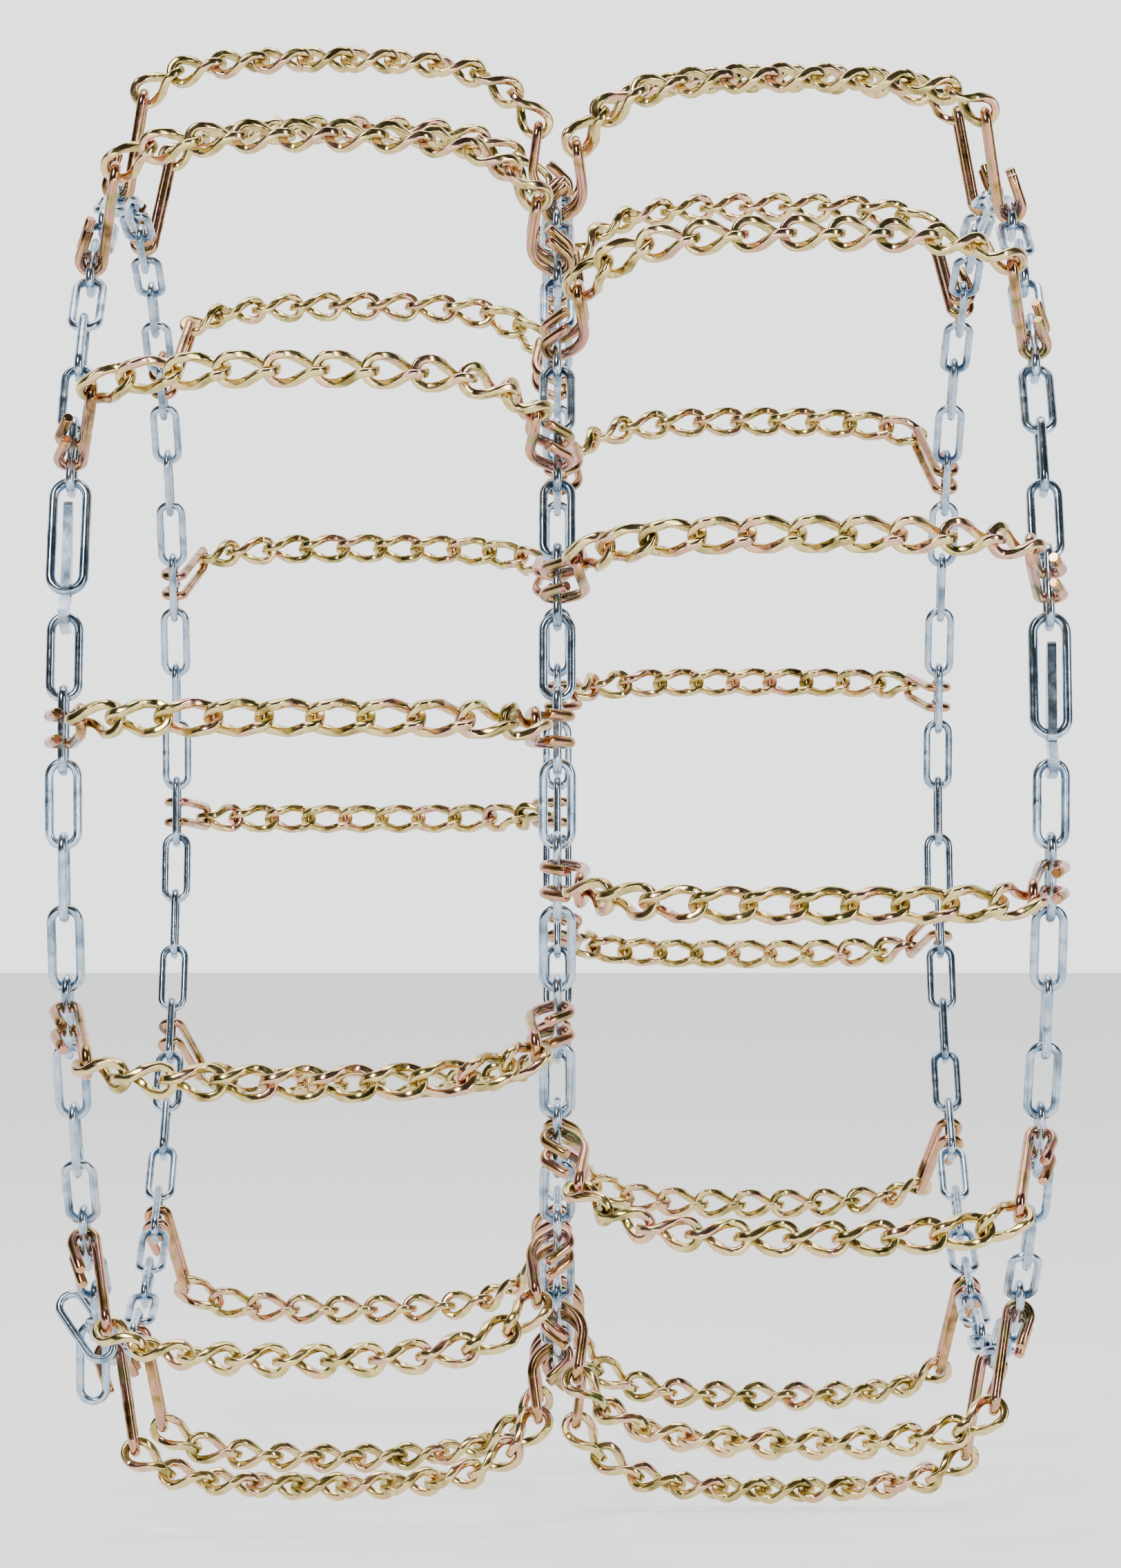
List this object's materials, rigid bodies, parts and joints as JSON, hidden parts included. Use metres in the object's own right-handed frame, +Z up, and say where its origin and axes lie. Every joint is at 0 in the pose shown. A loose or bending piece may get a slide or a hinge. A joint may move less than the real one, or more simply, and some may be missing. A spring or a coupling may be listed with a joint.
{
  "type": "tire snow chains",
  "caption": "Set of tire snow chains for a dual truck wheel in its worn shape: twisted-link cross chains hooked between three side chains, with lever fasteners.",
  "frame": {"origin": "centre of the wheel axle, midway between the two tires that the set is worn on", "axes": "+X along the axle from the left tire to the right tire, -Y to the front of the wheels, +Z up"},
  "size_m": [0.7052, 1.0976, 1.0976],
  "materials": {
    "cross_links": "yellow zinc plated steel with pink and green iridescence",
    "hooks": "yellow zinc plated steel, darker and pinker than the links",
    "side_links": "bright blue-white zinc plated steel",
    "levers": "bright blue-white zinc plated steel"
  },
  "bodies": {
    "side_chains": {"outer_hooks_left": "hooks", "inner_hooks_left": "hooks", "outer_hooks_right": "hooks", "inner_hooks_right": "hooks", "side_chain_left_front": "side_links", "side_chain_left_top": "side_links", "side_chain_left_rear": "side_links", "side_chain_left_bottom": "side_links", "side_chain_middle_front": "side_links", "side_chain_middle_top": "side_links", "side_chain_middle_rear": "side_links", "side_chain_middle_bottom": "side_links", "side_chain_right_front": "side_links", "side_chain_right_top": "side_links", "side_chain_right_rear": "side_links", "side_chain_right_bottom": "side_links", "fastener_ring_left": "side_links", "fastener_ring_right": "side_links"},
    "cross_chain_left_01": {"cross_chain_left_01": "cross_links"},
    "cross_chain_left_02": {"cross_chain_left_02": "cross_links"},
    "cross_chain_left_03": {"cross_chain_left_03": "cross_links"},
    "cross_chain_left_04": {"cross_chain_left_04": "cross_links"},
    "cross_chain_left_05": {"cross_chain_left_05": "cross_links"},
    "cross_chain_left_06": {"cross_chain_left_06": "cross_links"},
    "cross_chain_left_07": {"cross_chain_left_07": "cross_links"},
    "cross_chain_left_08": {"cross_chain_left_08": "cross_links"},
    "cross_chain_left_09": {"cross_chain_left_09": "cross_links"},
    "cross_chain_left_10": {"cross_chain_left_10": "cross_links"},
    "cross_chain_left_11": {"cross_chain_left_11": "cross_links"},
    "cross_chain_left_12": {"cross_chain_left_12": "cross_links"},
    "cross_chain_left_13": {"cross_chain_left_13": "cross_links"},
    "cross_chain_left_14": {"cross_chain_left_14": "cross_links"},
    "cross_chain_right_01": {"cross_chain_right_01": "cross_links"},
    "cross_chain_right_02": {"cross_chain_right_02": "cross_links"},
    "cross_chain_right_03": {"cross_chain_right_03": "cross_links"},
    "cross_chain_right_04": {"cross_chain_right_04": "cross_links"},
    "cross_chain_right_05": {"cross_chain_right_05": "cross_links"},
    "cross_chain_right_06": {"cross_chain_right_06": "cross_links"},
    "cross_chain_right_07": {"cross_chain_right_07": "cross_links"},
    "cross_chain_right_08": {"cross_chain_right_08": "cross_links"},
    "cross_chain_right_09": {"cross_chain_right_09": "cross_links"},
    "cross_chain_right_10": {"cross_chain_right_10": "cross_links"},
    "cross_chain_right_11": {"cross_chain_right_11": "cross_links"},
    "cross_chain_right_12": {"cross_chain_right_12": "cross_links"},
    "cross_chain_right_13": {"cross_chain_right_13": "cross_links"},
    "cross_chain_right_14": {"cross_chain_right_14": "cross_links"},
    "fastener_lever_left": {"fastener_lever_left": "levers"},
    "fastener_lever_right": {"fastener_lever_right": "levers"},
    "loose_link_upper": {"loose_link_upper": "side_links"},
    "loose_link_lower": {"loose_link_lower": "side_links"}
  },
  "joints": [
    {"name": "cross_chain_left_01_swing", "type": "hinge", "parent": "side_chains", "child": "cross_chain_left_01", "pos_m": [-0.31394, -0.50989, 0.03565], "axis": [0.9966, 0.0825, -0.0058], "range_deg": [-10, 12]},
    {"name": "cross_chain_left_02_swing", "type": "hinge", "parent": "side_chains", "child": "cross_chain_left_02", "pos_m": [-0.31394, -0.44392, 0.25336], "axis": [0.9966, 0.0718, -0.041], "range_deg": [-10, 12]},
    {"name": "cross_chain_left_03_swing", "type": "hinge", "parent": "side_chains", "child": "cross_chain_left_03", "pos_m": [-0.31394, -0.29003, 0.42088], "axis": [0.9966, 0.0469, -0.0681], "range_deg": [-10, 12]},
    {"name": "cross_chain_left_04_swing", "type": "hinge", "parent": "side_chains", "child": "cross_chain_left_04", "pos_m": [-0.31394, -0.0787, 0.50504], "axis": [0.9966, 0.0127, -0.0817], "range_deg": [-10, 12]},
    {"name": "cross_chain_left_05_swing", "type": "hinge", "parent": "side_chains", "child": "cross_chain_left_05", "pos_m": [-0.31394, 0.14822, 0.48917], "axis": [0.9966, -0.024, -0.0791], "range_deg": [-10, 12]},
    {"name": "cross_chain_left_06_swing", "type": "hinge", "parent": "side_chains", "child": "cross_chain_left_06", "pos_m": [-0.31394, 0.34579, 0.37642], "axis": [0.9966, -0.0559, -0.0609], "range_deg": [-10, 12]},
    {"name": "cross_chain_left_07_swing", "type": "hinge", "parent": "side_chains", "child": "cross_chain_left_07", "pos_m": [-0.31394, 0.47486, 0.18911], "axis": [0.9966, -0.0768, -0.0306], "range_deg": [-10, 12]},
    {"name": "cross_chain_left_08_swing", "type": "hinge", "parent": "side_chains", "child": "cross_chain_left_08", "pos_m": [-0.31394, 0.50989, -0.03565], "axis": [0.9966, -0.0825, 0.0058], "range_deg": [-10, 12]},
    {"name": "cross_chain_left_09_swing", "type": "hinge", "parent": "side_chains", "child": "cross_chain_left_09", "pos_m": [-0.31394, 0.44392, -0.25336], "axis": [0.9966, -0.0718, 0.041], "range_deg": [-10, 12]},
    {"name": "cross_chain_left_10_swing", "type": "hinge", "parent": "side_chains", "child": "cross_chain_left_10", "pos_m": [-0.31394, 0.29003, -0.42088], "axis": [0.9966, -0.0469, 0.0681], "range_deg": [-10, 12]},
    {"name": "cross_chain_left_11_swing", "type": "hinge", "parent": "side_chains", "child": "cross_chain_left_11", "pos_m": [-0.31394, 0.0787, -0.50504], "axis": [0.9966, -0.0127, 0.0817], "range_deg": [-10, 12]},
    {"name": "cross_chain_left_12_swing", "type": "hinge", "parent": "side_chains", "child": "cross_chain_left_12", "pos_m": [-0.31394, -0.14822, -0.48917], "axis": [0.9966, 0.024, 0.0791], "range_deg": [-10, 12]},
    {"name": "cross_chain_left_13_swing", "type": "hinge", "parent": "side_chains", "child": "cross_chain_left_13", "pos_m": [-0.31394, -0.34579, -0.37642], "axis": [0.9966, 0.0559, 0.0609], "range_deg": [-10, 12]},
    {"name": "cross_chain_left_14_swing", "type": "hinge", "parent": "side_chains", "child": "cross_chain_left_14", "pos_m": [-0.31394, -0.47486, -0.18911], "axis": [0.9966, 0.0768, 0.0306], "range_deg": [-10, 12]},
    {"name": "cross_chain_right_01_swing", "type": "hinge", "parent": "side_chains", "child": "cross_chain_right_01", "pos_m": [0.31394, -0.48917, 0.14822], "axis": [-0.9966, 0.0791, -0.024], "range_deg": [-10, 12]},
    {"name": "cross_chain_right_02_swing", "type": "hinge", "parent": "side_chains", "child": "cross_chain_right_02", "pos_m": [0.31394, -0.37642, 0.34579], "axis": [-0.9966, 0.0609, -0.0559], "range_deg": [-10, 12]},
    {"name": "cross_chain_right_03_swing", "type": "hinge", "parent": "side_chains", "child": "cross_chain_right_03", "pos_m": [0.31394, -0.18911, 0.47486], "axis": [-0.9966, 0.0306, -0.0768], "range_deg": [-10, 12]},
    {"name": "cross_chain_right_04_swing", "type": "hinge", "parent": "side_chains", "child": "cross_chain_right_04", "pos_m": [0.31394, 0.03565, 0.50989], "axis": [-0.9966, -0.0058, -0.0825], "range_deg": [-10, 12]},
    {"name": "cross_chain_right_05_swing", "type": "hinge", "parent": "side_chains", "child": "cross_chain_right_05", "pos_m": [0.31394, 0.25336, 0.44392], "axis": [-0.9966, -0.041, -0.0718], "range_deg": [-10, 12]},
    {"name": "cross_chain_right_06_swing", "type": "hinge", "parent": "side_chains", "child": "cross_chain_right_06", "pos_m": [0.31394, 0.42088, 0.29003], "axis": [-0.9966, -0.0681, -0.0469], "range_deg": [-10, 12]},
    {"name": "cross_chain_right_07_swing", "type": "hinge", "parent": "side_chains", "child": "cross_chain_right_07", "pos_m": [0.31394, 0.50504, 0.0787], "axis": [-0.9966, -0.0817, -0.0127], "range_deg": [-10, 12]},
    {"name": "cross_chain_right_08_swing", "type": "hinge", "parent": "side_chains", "child": "cross_chain_right_08", "pos_m": [0.31394, 0.48917, -0.14822], "axis": [-0.9966, -0.0791, 0.024], "range_deg": [-10, 12]},
    {"name": "cross_chain_right_09_swing", "type": "hinge", "parent": "side_chains", "child": "cross_chain_right_09", "pos_m": [0.31394, 0.37642, -0.34579], "axis": [-0.9966, -0.0609, 0.0559], "range_deg": [-10, 12]},
    {"name": "cross_chain_right_10_swing", "type": "hinge", "parent": "side_chains", "child": "cross_chain_right_10", "pos_m": [0.31394, 0.18911, -0.47486], "axis": [-0.9966, -0.0306, 0.0768], "range_deg": [-10, 12]},
    {"name": "cross_chain_right_11_swing", "type": "hinge", "parent": "side_chains", "child": "cross_chain_right_11", "pos_m": [0.31394, -0.03565, -0.50989], "axis": [-0.9966, 0.0058, 0.0825], "range_deg": [-10, 12]},
    {"name": "cross_chain_right_12_swing", "type": "hinge", "parent": "side_chains", "child": "cross_chain_right_12", "pos_m": [0.31394, -0.25336, -0.44392], "axis": [-0.9966, 0.041, 0.0718], "range_deg": [-10, 12]},
    {"name": "cross_chain_right_13_swing", "type": "hinge", "parent": "side_chains", "child": "cross_chain_right_13", "pos_m": [0.31394, -0.42088, -0.29003], "axis": [-0.9966, 0.0681, 0.0469], "range_deg": [-10, 12]},
    {"name": "cross_chain_right_14_swing", "type": "hinge", "parent": "side_chains", "child": "cross_chain_right_14", "pos_m": [0.31394, -0.50504, -0.0787], "axis": [-0.9966, 0.0817, 0.0127], "range_deg": [-10, 12]},
    {"name": "fastener_lever_left_swing", "type": "hinge", "parent": "side_chains", "child": "fastener_lever_left", "pos_m": [-0.328, -0.41936, 0.12384], "axis": [-1, 0, 0], "range_deg": [0, 110]},
    {"name": "fastener_lever_right_swing", "type": "hinge", "parent": "side_chains", "child": "fastener_lever_right", "pos_m": [0.328, -0.4364, 0.02743], "axis": [-1, 0, 0], "range_deg": [0, 110]},
    {"name": "loose_link_upper_swing", "type": "hinge", "parent": "side_chains", "child": "loose_link_upper", "pos_m": [-0.3374, -0.17246, -0.40073], "axis": [0, -0.9185, 0.3953], "range_deg": [-25, 10]},
    {"name": "loose_link_lower_swing", "type": "hinge", "parent": "side_chains", "child": "loose_link_lower", "pos_m": [-0.3374, -0.17246, -0.40073], "axis": [0, -0.9185, 0.3953], "range_deg": [-25, 5]}
  ]
}
